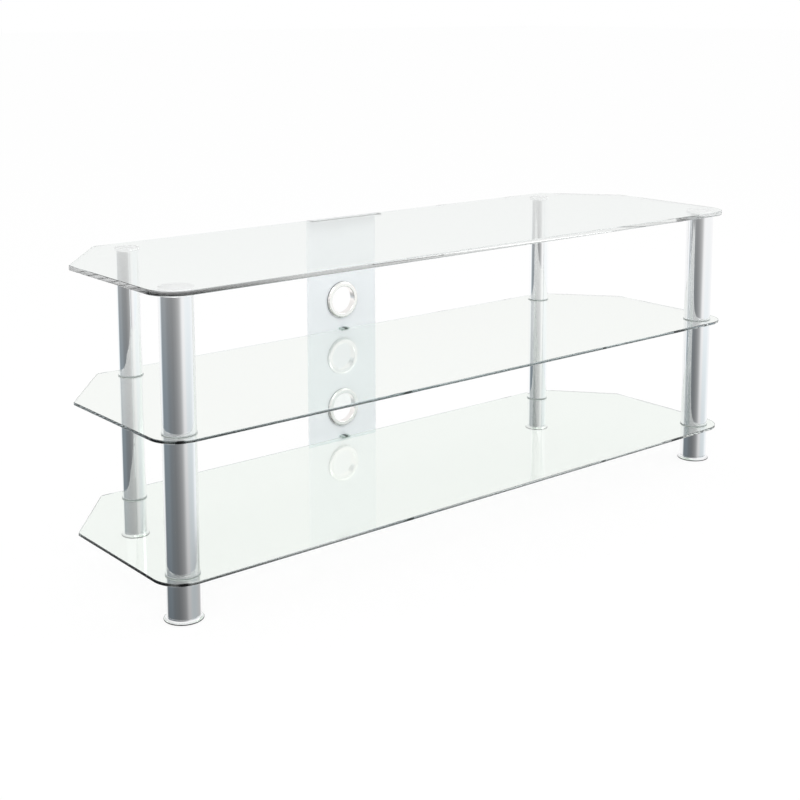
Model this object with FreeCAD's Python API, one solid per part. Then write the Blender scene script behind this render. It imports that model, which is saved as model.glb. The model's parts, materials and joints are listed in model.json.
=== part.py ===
import FreeCAD, Part
import math
import os
from collections import namedtuple

Vector = FreeCAD.Vector

# A three-tier stand: glass panes on four legs of chromed tube, with a cable panel at the back.
# X is to the right, Y is to the back and Z is up. The origin is on the floor, under the middle
# of the whole stand. All sizes are millimetres.

# Glass panes, one outline for all three
pane_width = 1250.0
pane_depth = 415.0
pane_side_length = 283.0
pane_rear_cut = 108.0
pane_front_corner_radius = 48.0
pane_rear_corner_radius = 6.0
pane_arris = 0.7
top_pane_thickness = 8.0
lower_pane_thickness = 5.0

# Height of each pane's top surface above the floor
top_pane_height = 497.0
middle_pane_height = 282.0
bottom_pane_height = 70.5

# Legs
front_leg_side_inset = 45.0
front_leg_front_inset = 42.0
rear_leg_side_inset = 41.5
rear_leg_rear_inset = 40.0
front_tube_diameter = 50.8
rear_tube_diameter = 40.0
tube_wall = 1.2
tube_end_break = 0.35

# Joints between tubes and panes
washer_thickness = 1.0
washer_overhang = 0.7
stud_diameter = 8.0
stud_engagement = 10.0
stud_end_chamfer = 0.8
pane_hole_diameter = 12.0
top_disc_thickness = 4.0
top_disc_overhang = 0.4
top_disc_chamfer = 0.6

# Plugs in the tube ends
plug_depth = 14.0
plug_end_plate = 3.0
plug_shell = 2.0
plug_hub_wall = 3.5
plug_rib_thickness = 1.8
plug_rib_setback = 2.0
plug_rib_count = 6

# Levelling feet
front_foot_diameter = 59.5
rear_foot_diameter = 46.8
foot_height = 8.0
foot_seat_gap = 0.3
foot_travel = 10.0
foot_land = 1.2
foot_rim_radius = 1.0
foot_rim_height = 1.2
foot_web = 3.0
foot_rim_width = 4.0
foot_pad_height = 3.0
foot_pad_chamfer = 0.6
stem_diameter = 10.0
stem_head_diameter = 18.0
stem_grip = 12.0
stem_end_chamfer = 1.0

# Rear cable panel
panel_width = 160.0
panel_gap = 8.0
panel_sheet = 1.5
panel_bottom_height = 56.5
panel_bend_radius = 2.0
panel_corner_radius = 3.0
panel_fold_reach = 13.0
bond_strip_thickness = 1.0
bond_strip_width = 4.0
bond_strip_rear_inset = 2.0

# Cable grommets, each centred above the pane below it
grommet_rise = 54.5
grommet_outer_diameter = 70.0
grommet_bore_diameter = 51.0
grommet_rim_depth = 5.0
grommet_outer_round = 4.0
grommet_inner_round = 4.0
grommet_hole_diameter = 62.0
grommet_rear_reach = 7.0
grommet_bead = 0.8
grommet_bead_length = 2.0
grommet_rear_round = 1.0

# Clips that hold the panel to the two lower panes
clip_width = 17.0
clip_lip = 1.6
clip_reach = 4.0
clip_round = 0.8
clip_screw_diameter = 3.5
clip_screw_length = 6.0
clip_screw_head_diameter = 7.6
clip_screw_head_height = 2.4
clip_screw_hole_diameter = 4.4

# Clearances
press_clearance = 0.1
thread_clearance = 0.1
grommet_clearance = 0.2
cut_overrun = 5.0

# Places that follow from the sizes
stand_depth = pane_depth + panel_gap + panel_sheet + grommet_rear_reach
pane_front_y = -stand_depth / 2
pane_rear_y = pane_front_y + pane_depth
pane_half_rear = pane_width / 2 - pane_rear_cut
panel_front_y = pane_rear_y + panel_gap
panel_rear_y = panel_front_y + panel_sheet
middle_pane_under = middle_pane_height - lower_pane_thickness
bottom_pane_under = bottom_pane_height - lower_pane_thickness
top_pane_under = top_pane_height - top_pane_thickness
lower_tube_bottom = foot_height + foot_seat_gap
stud_radius = stud_diameter / 2
stem_radius = stem_diameter / 2

Leg = namedtuple("Leg", "name x y tube_radius foot_radius")


def all_legs():
    """The four legs: the front pair stands further apart than the rear pair."""
    front_x = pane_width / 2 - front_leg_side_inset
    front_y = pane_front_y + front_leg_front_inset
    rear_x = pane_half_rear - rear_leg_side_inset
    rear_y = pane_rear_y - rear_leg_rear_inset
    legs = []
    for side, sign in (("left", -1), ("right", 1)):
        legs.append(Leg("front_" + side, sign * front_x, front_y,
                        front_tube_diameter / 2, front_foot_diameter / 2))
        legs.append(Leg("rear_" + side, sign * rear_x, rear_y,
                        rear_tube_diameter / 2, rear_foot_diameter / 2))
    return legs


def disc(radius, bottom, height, x=0, y=0):
    """An upright cylinder."""
    return Part.makeCylinder(radius, height, Vector(x, y, bottom))


def ring(outer_radius, inner_radius, bottom, height, x=0, y=0):
    """An upright ring, its hole cut past both faces."""
    hole = disc(inner_radius, bottom - cut_overrun, height + 2 * cut_overrun, x, y)
    return disc(outer_radius, bottom, height, x, y).cut(hole)


def turned(edges):
    """A solid of revolution about Z from a closed profile in the XZ plane."""
    profile = Part.Face(Part.Wire(edges))
    return profile.revolve(Vector(0, 0, 0), Vector(0, 0, 1), 360)


def line(start, end):
    """A straight edge between two (radius, height) points."""
    return Part.makeLine(Vector(start[0], 0, start[1]), Vector(end[0], 0, end[1]))


def arc(start, end, centre):
    """The shorter round edge between two (radius, height) points about a centre."""
    radius = math.hypot(start[0] - centre[0], start[1] - centre[1])
    half_x = (start[0] + end[0]) / 2 - centre[0]
    half_z = (start[1] + end[1]) / 2 - centre[1]
    share = radius / math.hypot(half_x, half_z)
    middle = Vector(centre[0] + half_x * share, 0, centre[1] + half_z * share)
    ends = [Vector(start[0], 0, start[1]), Vector(end[0], 0, end[1])]
    return Part.Arc(ends[0], middle, ends[1]).toShape()


def polyline(points):
    """Straight edges through (radius, height) points."""
    return [line(a, b) for a, b in zip(points, points[1:])]


def rounded_outline(corners, height):
    """A closed flat wire through corners given as (x, y, rounding radius)."""
    count = len(corners)
    rounds = []
    for index, (x, y, radius) in enumerate(corners):
        corner = Vector(x, y, height)
        before = corners[index - 1]
        after = corners[(index + 1) % count]
        to_before = (Vector(before[0], before[1], height) - corner).normalize()
        to_after = (Vector(after[0], after[1], height) - corner).normalize()
        half_angle = to_before.getAngle(to_after) / 2
        setback = radius / math.tan(half_angle)
        inward = (to_before + to_after).normalize()
        middle = corner + inward * (radius / math.sin(half_angle) - radius)
        rounds.append((corner + to_before * setback, middle, corner + to_after * setback))
    edges = []
    for index, (start, middle, end) in enumerate(rounds):
        edges.append(Part.Arc(start, middle, end).toShape())
        edges.append(Part.makeLine(end, rounds[(index + 1) % count][0]))
    return Part.Wire(edges)


def pane(top_height, thickness):
    """A pane with rounded front corners, cut-off rear corners and ground edges."""
    half_width = pane_width / 2
    side_end_y = pane_front_y + pane_side_length
    corners = [
        (-half_width, pane_front_y, pane_front_corner_radius),
        (half_width, pane_front_y, pane_front_corner_radius),
        (half_width, side_end_y, pane_rear_corner_radius),
        (pane_half_rear, pane_rear_y, pane_rear_corner_radius),
        (-pane_half_rear, pane_rear_y, pane_rear_corner_radius),
        (-half_width, side_end_y, pane_rear_corner_radius),
    ]
    face = Part.Face(rounded_outline(corners, top_height - thickness))
    slab = face.extrude(Vector(0, 0, thickness))
    rims = [edge for edge in slab.Edges if edge.BoundBox.ZLength < thickness / 2]
    return slab.makeChamfer(pane_arris, rims)


def drilled_pane(top_height, legs):
    """One of the two lower panes, with a hole for the stud at each leg."""
    glass = pane(top_height, lower_pane_thickness)
    bottom = top_height - lower_pane_thickness - cut_overrun
    depth = lower_pane_thickness + 2 * cut_overrun
    for leg in legs:
        glass = glass.cut(disc(pane_hole_diameter / 2, bottom, depth, leg.x, leg.y))
    return glass


def tube_spans():
    """Bottom and top of each tube section, from the floor up."""
    return {
        "lower": (lower_tube_bottom, bottom_pane_under - washer_thickness),
        "middle": (bottom_pane_height + washer_thickness, middle_pane_under - washer_thickness),
        "upper": (middle_pane_height + washer_thickness, top_pane_under - top_disc_thickness),
    }


def tube(leg, bottom, top):
    """A tube section with its outer end edges broken."""
    body = disc(leg.tube_radius, bottom, top - bottom, leg.x, leg.y)
    rims = [edge for edge in body.Edges if edge.BoundBox.ZLength < tube_wall]
    body = body.makeChamfer(tube_end_break, rims)
    length = top - bottom + 2 * cut_overrun
    return body.cut(disc(leg.tube_radius - tube_wall, bottom - cut_overrun, length, leg.x, leg.y))


def plug(tube_radius, thread_radius):
    """A moulded plug, end plate down: a shell, a threaded hub and ribs between them."""
    outer = tube_radius - tube_wall - press_clearance
    hub = thread_radius + plug_hub_wall
    shell = ring(outer, outer - plug_shell, 0, plug_depth)
    parts = [disc(outer, 0, plug_end_plate), shell, disc(hub, 0, plug_depth)]
    rib_length = outer - plug_shell / 2
    rib_height = plug_depth - plug_rib_setback
    for index in range(plug_rib_count):
        rib = Part.makeBox(rib_length, plug_rib_thickness, rib_height,
                           Vector(0, -plug_rib_thickness / 2, 0))
        rib.rotate(Vector(0, 0, 0), Vector(0, 0, 1), 360 * index / plug_rib_count)
        parts.append(rib)
    body = parts[0].multiFuse(parts[1:]).removeSplitter()
    return body.cut(disc(thread_radius, -cut_overrun, plug_depth + 2 * cut_overrun))


def place_plug(leg, height, thread_radius, mouth_up):
    """A plug with its end plate at the given height, in the top or bottom end of a tube."""
    piece = plug(leg.tube_radius, thread_radius)
    if mouth_up:
        piece.rotate(Vector(0, 0, 0), Vector(1, 0, 0), 180)
    piece.translate(Vector(leg.x, leg.y, height))
    return piece


def tube_plugs(leg):
    """The six plugs of one leg. The lowest one takes the foot's thicker stem."""
    stud_thread = stud_radius + thread_clearance
    pieces = []
    for level, (bottom, top) in tube_spans().items():
        low_thread = stud_thread
        if level == "lower":
            low_thread = stem_radius + thread_clearance
        pieces.append(place_plug(leg, bottom, low_thread, False))
        pieces.append(place_plug(leg, top, stud_thread, True))
    return Part.makeCompound(pieces)


def threaded_rod(radius, bottom, height, chamfer, x, y):
    """A plain rod of a thread's outer size with both ends chamfered."""
    rod = disc(radius, bottom, height, x, y)
    rims = [edge for edge in rod.Edges if edge.BoundBox.ZLength < chamfer / 2]
    return rod.makeChamfer(chamfer, rims)


def joining_studs(leg):
    """The two studs of one leg, through the bottom and the middle pane."""
    pieces = []
    for top_height in (bottom_pane_height, middle_pane_height):
        bottom = top_height - lower_pane_thickness - washer_thickness - stud_engagement
        length = lower_pane_thickness + 2 * (washer_thickness + stud_engagement)
        pieces.append(threaded_rod(stud_radius, bottom, length, stud_end_chamfer, leg.x, leg.y))
    return Part.makeCompound(pieces)


def glass_washers(leg):
    """The four washers of one leg, above and below the two lower panes."""
    outer = leg.tube_radius + washer_overhang
    inner = stud_radius + thread_clearance
    pieces = []
    for top_height in (bottom_pane_height, middle_pane_height):
        for bottom in (top_height, top_height - lower_pane_thickness - washer_thickness):
            pieces.append(ring(outer, inner, bottom, washer_thickness, leg.x, leg.y))
    return Part.makeCompound(pieces)


def top_disc(leg):
    """The disc bonded under the top pane, with its stud into the upper tube's plug."""
    radius = leg.tube_radius + top_disc_overhang
    bottom = top_pane_under - top_disc_thickness
    plate = disc(radius, bottom, top_disc_thickness, leg.x, leg.y)
    rims = [edge for edge in plate.Edges if edge.BoundBox.ZMax < bottom + top_disc_thickness / 2]
    plate = plate.makeChamfer(top_disc_chamfer, rims)
    stud_length = stud_engagement + top_disc_thickness / 2
    stud = disc(stud_radius, bottom - stud_engagement, stud_length, leg.x, leg.y)
    return plate.fuse(stud).removeSplitter()


def pad_radius(leg):
    """The radius of a foot's pad, inside the collar's rim."""
    return leg.foot_radius - foot_rim_width - press_clearance


def foot_collar(leg):
    """A chromed collar that flares from the tube's size to a rolled rim, open below."""
    rim_centre = (leg.foot_radius - foot_rim_radius, foot_rim_height + foot_rim_radius)
    rim_top = (rim_centre[0], rim_centre[1] + foot_rim_radius)
    rim_side = (leg.foot_radius, rim_centre[1])
    rim_bottom = (rim_centre[0], foot_rim_height)
    flare_start = (leg.tube_radius, foot_height - foot_land)
    run = rim_top[0] - flare_start[0]
    drop = flare_start[1] - rim_top[1]
    flare_radius = (run * run + drop * drop) / (2 * run)
    flare_centre = (leg.tube_radius + flare_radius, flare_start[1])
    bore = stem_radius + press_clearance
    recess = leg.foot_radius - foot_rim_width
    web_bottom = foot_height - foot_web
    edges = [line((leg.tube_radius, foot_height), flare_start)]
    edges.append(arc(flare_start, rim_top, flare_centre))
    edges.append(arc(rim_top, rim_side, rim_centre))
    edges.append(arc(rim_side, rim_bottom, rim_centre))
    edges += polyline([rim_bottom, (recess, foot_rim_height), (recess, web_bottom),
                       (bore, web_bottom), (bore, foot_height), (leg.tube_radius, foot_height)])
    collar = turned(edges)
    collar.translate(Vector(leg.x, leg.y, 0))
    return collar


def foot_pad(leg):
    """The soft pad in the collar, which stands on the floor."""
    radius = pad_radius(leg)
    pad = disc(radius, 0, foot_pad_height, leg.x, leg.y)
    rims = [edge for edge in pad.Edges if edge.BoundBox.ZMax < foot_pad_height / 2]
    return pad.makeChamfer(foot_pad_chamfer, rims)


def foot_stem(leg):
    """The foot's threaded stem, its head held between the collar's web and the pad."""
    head_height = foot_height - foot_web - foot_pad_height
    head = disc(stem_head_diameter / 2, foot_pad_height, head_height, leg.x, leg.y)
    bottom = foot_pad_height + head_height / 2
    length = lower_tube_bottom + foot_travel + stem_grip - bottom
    rod = threaded_rod(stem_radius, bottom, length, stem_end_chamfer, leg.x, leg.y)
    return head.fuse(rod).removeSplitter()


def panel_profile():
    """Side view of the panel: an upright sheet folded forward at the top, as (y, z) edges."""
    top = top_pane_under - bond_strip_thickness
    under = top - panel_sheet
    fold_front = pane_rear_y - panel_fold_reach
    outer = panel_bend_radius + panel_sheet
    centre = (panel_rear_y - outer, top - outer)
    edges = polyline([(panel_front_y, centre[1]), (panel_front_y, panel_bottom_height),
                      (panel_rear_y, panel_bottom_height), (panel_rear_y, centre[1])])
    edges.append(arc((panel_rear_y, centre[1]), (centre[0], top), centre))
    edges += polyline([(centre[0], top), (fold_front, top), (fold_front, under),
                       (centre[0], under)])
    edges.append(arc((centre[0], under), (panel_front_y, centre[1]), centre))
    return edges


def grommet_heights():
    """Height of each grommet's centre, above the pane below it."""
    return {
        "lower": bottom_pane_height + grommet_rise,
        "upper": middle_pane_height + grommet_rise,
    }


def clip_heights():
    """Height of each clip's middle: the middle of the pane that it grips."""
    return {
        "bottom": bottom_pane_height - lower_pane_thickness / 2,
        "middle": middle_pane_height - lower_pane_thickness / 2,
    }


def bore_along_y(radius, height):
    """A cutting cylinder through the panel at the given height."""
    length = panel_sheet + 2 * cut_overrun
    start = Vector(0, panel_front_y - cut_overrun, height)
    return Part.makeCylinder(radius, length, start, Vector(0, 1, 0))


def rear_panel():
    """The folded sheet panel with its grommet holes and clip screw holes."""
    face = Part.Face(Part.Wire(panel_profile()))
    # The profile is drawn with y as its first axis, so it is turned before it is extruded.
    face.rotate(Vector(0, 0, 0), Vector(0, 0, 1), 90)
    face.translate(Vector(-panel_width / 2, 0, 0))
    sheet = face.extrude(Vector(panel_width, 0, 0))
    lowest = [edge for edge in sheet.Edges
              if edge.BoundBox.ZMax < panel_bottom_height + panel_sheet
              and edge.BoundBox.XLength < panel_sheet and edge.BoundBox.YLength > panel_sheet / 2]
    sheet = sheet.makeFillet(panel_corner_radius, lowest)
    for height in grommet_heights().values():
        sheet = sheet.cut(bore_along_y(grommet_hole_diameter / 2, height))
    for height in clip_heights().values():
        sheet = sheet.cut(bore_along_y(clip_screw_hole_diameter / 2, height))
    return sheet


def bond_strip():
    """A flat strip round the front and ends of the panel's fold, under the top pane."""
    bottom = top_pane_under - bond_strip_thickness
    front = pane_rear_y - panel_fold_reach
    depth = panel_fold_reach - bond_strip_rear_inset
    outer = Part.makeBox(panel_width, depth, bond_strip_thickness,
                         Vector(-panel_width / 2, front, bottom))
    inner = Part.makeBox(panel_width - 2 * bond_strip_width, depth,
                         bond_strip_thickness + 2 * cut_overrun,
                         Vector(bond_strip_width - panel_width / 2, front + bond_strip_width,
                                bottom - cut_overrun))
    return outer.cut(inner)


def cable_grommet(height):
    """A chromed ring with a rounded rim in front and a snap bead behind the panel."""
    bore = grommet_bore_diameter / 2
    outer = grommet_outer_diameter / 2
    barrel = grommet_hole_diameter / 2 - grommet_clearance
    bead = grommet_hole_diameter / 2 + grommet_bead
    rear = -panel_sheet - grommet_rear_reach
    bead_rear = -panel_sheet - grommet_bead_length
    inner_centre = (bore + grommet_inner_round, grommet_rim_depth - grommet_inner_round)
    outer_centre = (outer - grommet_outer_round, grommet_rim_depth - grommet_outer_round)
    edges = polyline([(bore + grommet_rear_round, rear), (bore, rear + grommet_rear_round),
                      (bore, inner_centre[1])])
    edges.append(arc((bore, inner_centre[1]), (inner_centre[0], grommet_rim_depth), inner_centre))
    edges.append(line((inner_centre[0], grommet_rim_depth), (outer_centre[0], grommet_rim_depth)))
    edges.append(arc((outer_centre[0], grommet_rim_depth), (outer, outer_centre[1]), outer_centre))
    edges += polyline([(outer, outer_centre[1]), (outer, 0), (barrel, 0), (barrel, -panel_sheet),
                       (bead, -panel_sheet), (barrel, bead_rear),
                       (barrel, rear + grommet_rear_round), (barrel - grommet_rear_round, rear),
                       (bore + grommet_rear_round, rear)])
    grommet = turned(edges)
    # The ring's axis is turned to point out of the panel's front.
    grommet.rotate(Vector(0, 0, 0), Vector(1, 0, 0), 90)
    grommet.translate(Vector(0, panel_front_y, height))
    return grommet


def shelf_clip(height):
    """A block that fills the gap behind a pane and grips the pane's rear edge in a slot."""
    depth = panel_gap + clip_reach
    tall = lower_pane_thickness + 2 * clip_lip
    front = pane_rear_y - clip_reach
    block = Part.makeBox(clip_width, depth, tall,
                         Vector(-clip_width / 2, front, height - tall / 2))
    long_edges = [edge for edge in block.Edges
                  if edge.BoundBox.XLength > clip_width / 2 and edge.BoundBox.YMax < pane_rear_y]
    block = block.makeFillet(clip_round, long_edges)
    slot = Part.makeBox(clip_width + 2 * cut_overrun, clip_reach + cut_overrun,
                        lower_pane_thickness,
                        Vector(-clip_width / 2 - cut_overrun, front - cut_overrun,
                               height - lower_pane_thickness / 2))
    hole = Part.makeCylinder(clip_screw_diameter / 2 + thread_clearance,
                             clip_screw_length + press_clearance + cut_overrun,
                             Vector(0, panel_front_y + cut_overrun, height), Vector(0, -1, 0))
    return block.cut(slot).cut(hole)


def clip_screw(height):
    """A round-headed screw from behind the panel into a clip."""
    shank = clip_screw_diameter / 2
    head = clip_screw_head_diameter / 2
    tip = -clip_screw_length - panel_sheet
    dome_radius = (head * head + clip_screw_head_height ** 2) / (2 * clip_screw_head_height)
    dome_centre = (0, clip_screw_head_height - dome_radius)
    edges = polyline([(0, clip_screw_head_height), (0, tip), (shank, tip), (shank, 0), (head, 0)])
    edges.append(arc((head, 0), (0, clip_screw_head_height), dome_centre))
    screw = turned(edges)
    screw.rotate(Vector(0, 0, 0), Vector(1, 0, 0), -90)
    screw.translate(Vector(0, panel_rear_y, height))
    return screw


def build_nodes():
    """Every piece of the stand by name."""
    legs = all_legs()
    nodes = {
        "top_glass": pane(top_pane_height, top_pane_thickness),
        "middle_glass": drilled_pane(middle_pane_height, legs),
        "bottom_glass": drilled_pane(bottom_pane_height, legs),
    }
    for leg in legs:
        for level, (bottom, top) in tube_spans().items():
            nodes[leg.name + "_" + level + "_tube"] = tube(leg, bottom, top)
        nodes[leg.name + "_tube_plugs"] = tube_plugs(leg)
        nodes[leg.name + "_joining_studs"] = joining_studs(leg)
        nodes[leg.name + "_glass_washers"] = glass_washers(leg)
        nodes[leg.name + "_top_disc"] = top_disc(leg)
        nodes[leg.name + "_foot_collar"] = foot_collar(leg)
        nodes[leg.name + "_foot_pad"] = foot_pad(leg)
        nodes[leg.name + "_foot_stem"] = foot_stem(leg)
    nodes["rear_panel"] = rear_panel()
    nodes["panel_bond_strip"] = bond_strip()
    for level, height in grommet_heights().items():
        nodes[level + "_cable_grommet"] = cable_grommet(height)
    for level, height in clip_heights().items():
        nodes[level + "_shelf_clip"] = shelf_clip(height)
    nodes["clip_screws"] = Part.makeCompound([clip_screw(height) for height in clip_heights().values()])
    return nodes


os.makedirs("parts", exist_ok=True)
for node_name, node_shape in build_nodes().items():
    node_shape.exportStep(os.path.join("parts", node_name + ".step"))
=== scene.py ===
import json
import math

import bmesh
import bpy
import numpy as np
from bpy.props import FloatProperty, FloatVectorProperty, IntProperty, PointerProperty
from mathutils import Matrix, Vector

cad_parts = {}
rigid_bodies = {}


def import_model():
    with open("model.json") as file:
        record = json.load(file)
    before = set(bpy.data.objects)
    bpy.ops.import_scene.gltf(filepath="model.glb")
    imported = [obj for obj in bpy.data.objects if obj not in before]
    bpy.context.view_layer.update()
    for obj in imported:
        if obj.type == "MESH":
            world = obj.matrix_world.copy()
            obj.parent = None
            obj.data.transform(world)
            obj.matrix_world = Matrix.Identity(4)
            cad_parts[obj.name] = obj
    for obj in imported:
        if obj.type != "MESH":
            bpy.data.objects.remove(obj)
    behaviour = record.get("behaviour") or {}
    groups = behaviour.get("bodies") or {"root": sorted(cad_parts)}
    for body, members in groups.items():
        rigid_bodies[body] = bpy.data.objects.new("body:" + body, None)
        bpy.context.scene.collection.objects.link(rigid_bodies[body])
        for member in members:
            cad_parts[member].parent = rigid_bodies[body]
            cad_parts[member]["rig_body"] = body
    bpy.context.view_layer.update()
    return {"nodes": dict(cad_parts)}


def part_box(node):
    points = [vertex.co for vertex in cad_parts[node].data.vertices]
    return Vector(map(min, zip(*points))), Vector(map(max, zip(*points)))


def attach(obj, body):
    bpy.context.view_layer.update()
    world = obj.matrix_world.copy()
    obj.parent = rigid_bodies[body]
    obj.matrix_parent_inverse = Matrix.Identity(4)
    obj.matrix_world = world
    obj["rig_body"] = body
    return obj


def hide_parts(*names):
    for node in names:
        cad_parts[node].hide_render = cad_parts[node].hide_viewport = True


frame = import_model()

# A three-tier stand for a television: glass panes on chromed tube legs, with a cable panel behind.
# Lengths are metres. Places come from the loaded frame, and the sizes that it doesn't give are
# the properties below.

bl_info = {
    "name": "Glass tier stand",
    "version": (1, 0, 0),
    "blender": (4, 5, 0),
    "location": "3D View > Sidebar > Stand",
    "description": "Builds the panes, tubes, feet and cable panel of a glass television stand",
    "category": "Add Mesh",
}

MM = 0.001
FULL_TURN = 2 * math.pi

# Words that the names of nodes are made of, and the slot of each pane
SIDES = ("front_left", "rear_left", "front_right", "rear_right")
LEVELS = ("lower", "middle", "upper")
RING_LEVELS = ("lower", "upper")
CLIP_LEVELS = ("bottom", "middle")
DRILLED_PANES = ("bottom_glass", "middle_glass")
PANES = {
    "top_glass": "top_glass",
    "middle_glass": "shelf_glass",
    "bottom_glass": "shelf_glass",
}

# Points closer than this are one point, and heights closer than this are one height
WELD_DISTANCE = 1e-7
SAME_HEIGHT = 10 * WELD_DISTANCE
# Edges that turn by more than this stay sharp
SHARP_ANGLE = math.radians(28)
# Gap between faces that meet, and how far a bonded face goes into the glass
BOND_GAP = 0.04 * MM
BOND_BITE = 0.02 * MM
# How close to the ends of a long straight stretch its extra points lie
PROP_REACH = 0.4 * MM


def length(name, description, default, least=0.0):
    """A size in metres."""
    return FloatProperty(name=name, description=description, default=default, min=least,
                         unit="LENGTH")


def tint(name, description, default):
    """A colour."""
    return FloatVectorProperty(name=name, description=description, default=default,
                               subtype="COLOR", size=3, min=0, max=1)


class PaneSizes(bpy.types.PropertyGroup):
    """Outline and edge of the three panes."""

    side_length: length(
        "Side length", "Straight side of a pane, from the front to the cut corner", 0.283, 0.1)
    rear_cut: length("Rear cut", "How far the rear edge stops short of each side", 0.108)
    front_radius: length(
        "Front corner radius", "Rounding of the two front corners", 0.048, 0.001)
    rear_radius: length(
        "Rear corner radius", "Rounding of the four rear corners", 0.006, 0.001)
    arris: length("Arris", "Width of the ground bevel on each edge", 0.0007, 0.0001)
    hole_diameter: length("Hole diameter", "Hole for the stud at each leg", 0.012, 0.004)


class LegSizes(bpy.types.PropertyGroup):
    """Tubes, washers, discs, studs and stems."""

    wall: length("Tube wall", "Thickness of the tube's wall", 0.0012, 0.0003)
    end_round: length("Tube end rounding", "Rounding of a tube's outer end edge", 0.00035, 0.0001)
    washer_thickness: length(
        "Washer thickness", "Thickness of the washers on the glass", 0.001, 0.0002)
    disc_thickness: length(
        "Disc thickness", "Thickness of the discs under the top pane", 0.004, 0.001)
    disc_round: length("Disc edge rounding", "Rounding of a disc's lower edge", 0.0006, 0.0001)
    disc_crown: length("Disc upper rounding", "Rounding of a disc's upper edge", 0.0002, 0.0001)
    stud_pitch: length("Stud pitch", "Thread pitch of the joining studs", 0.00125, 0.0005)
    stud_radius: length("Stud radius", "Outer radius of the joining studs", 0.004, 0.001)
    stud_chamfer: length("Stud chamfer", "Cone at each end of a stud", 0.0008)
    stem_pitch: length("Stem pitch", "Thread pitch of the levelling feet", 0.0015, 0.0005)
    stem_radius: length("Stem radius", "Outer radius of the levelling stems", 0.005, 0.001)
    stem_chamfer: length("Stem chamfer", "Cone at each end of a stem", 0.001)
    turn_steps: IntProperty(
        name="Steps round", description="Faces round a turned piece",
        default=112, min=24, max=256)


class FootSizes(bpy.types.PropertyGroup):
    """Collars and pads of the levelling feet."""

    land: length("Upper land", "Height of the straight band at a collar's top", 0.0012)
    crown: length("Crown", "Rounding of a collar's upper edge", 0.00025, 0.0001)
    rim_radius: length("Rim radius", "Radius of the rolled rim", 0.001, 0.0002)
    # Painted shade: a dark band at the foot of a collar's rim, standing in for its contact shadow
    # on the floor
    rim_shade_height: length("Seal height", "Height of the dark seal round a collar's rim", 0.0018)
    web: length("Web", "Thickness of a collar's top wall", 0.003, 0.0005)
    rim_width: length("Rim width", "Width of the wall round the pad", 0.004, 0.0005)
    pad_round: length("Pad rounding", "Rounding of a pad's lower edge", 0.0006, 0.0001)
    pad_margin: length("Pad margin", "Flat band round the grip rings", 0.0015)
    groove_depth: length("Pad groove depth", "Depth of the grip rings under a pad", 0.0004)
    groove_count: IntProperty(
        name="Pad grooves", description="Number of grip rings under a pad",
        default=4, min=0, max=12)


class PanelSizes(bpy.types.PropertyGroup):
    """The folded cable panel, its rings, clips, screws and strip."""

    sheet: length("Sheet", "Thickness of the panel's sheet", 0.0015, 0.0005)
    bend_radius: length(
        "Bend radius", "Inner radius of the fold under the top pane", 0.002, 0.0005)
    seam_drop: length("Seam drop", "How far below the fold the flat sheet ends", 0.001, 0.0005)
    corner_radius: length(
        "Corner radius", "Rounding of the panel's lower corners", 0.003, 0.0005)
    ring_hole: length(
        "Ring hole", "Diameter of the panel's hole for a cable ring", 0.062, 0.01)
    screw_hole: length(
        "Screw hole", "Diameter of the panel's hole for a clip screw", 0.0044, 0.001)
    edge_break: length("Edge break", "Deburred edge of the sheet", 0.0002, 0.00005)
    ring_bore: length("Ring bore", "Diameter of the opening for cables", 0.051, 0.01)
    ring_play: length("Ring play", "Gap between a ring's barrel and its hole", 0.0002)
    ring_round: length(
        "Ring rounding", "Rounding of a ring's outer front edge", 0.004, 0.0005)
    bore_round: length(
        "Bore rounding", "Rounding of a ring's inner front edge", 0.0014, 0.0005)
    ring_foot_round: length(
        "Ring foot rounding", "Rounding of a ring's rim at the panel", 0.0004, 0.0001)
    ring_rear_round: length("Ring rear rounding", "Rounding of a ring's rear end", 0.001, 0.0001)
    # Painted shade: a dark band on a ring's rim next to the panel, standing in for the shadow
    # there
    ring_shade_band: length("Ring seal", "Height of the dark seal under a ring's rim", 0.0019)
    ring_bead: length("Ring bead", "Height of the snap bead behind the panel", 0.0008)
    bead_length: length("Bead length", "Length of the snap bead's slope", 0.002, 0.0005)
    clip_round: length("Clip rounding", "Rounding of a clip's front edges", 0.0008, 0.0001)
    clip_reach: length("Clip reach", "Depth of a clip's slot over the pane", 0.004, 0.001)
    clip_edge: length("Clip edge", "Rounding of a clip's moulded edges", 0.0002, 0.00005)
    screw_radius: length("Screw radius", "Outer radius of the clip screws", 0.00175, 0.0005)
    screw_pitch: length("Screw pitch", "Thread pitch of the clip screws", 0.0008, 0.0002)
    screw_chamfer: length("Screw chamfer", "Cone at the tip of a clip screw", 0.0006)
    strip_width: length(
        "Strip width", "Width of the bonding strip round the flange", 0.004, 0.001)


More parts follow.
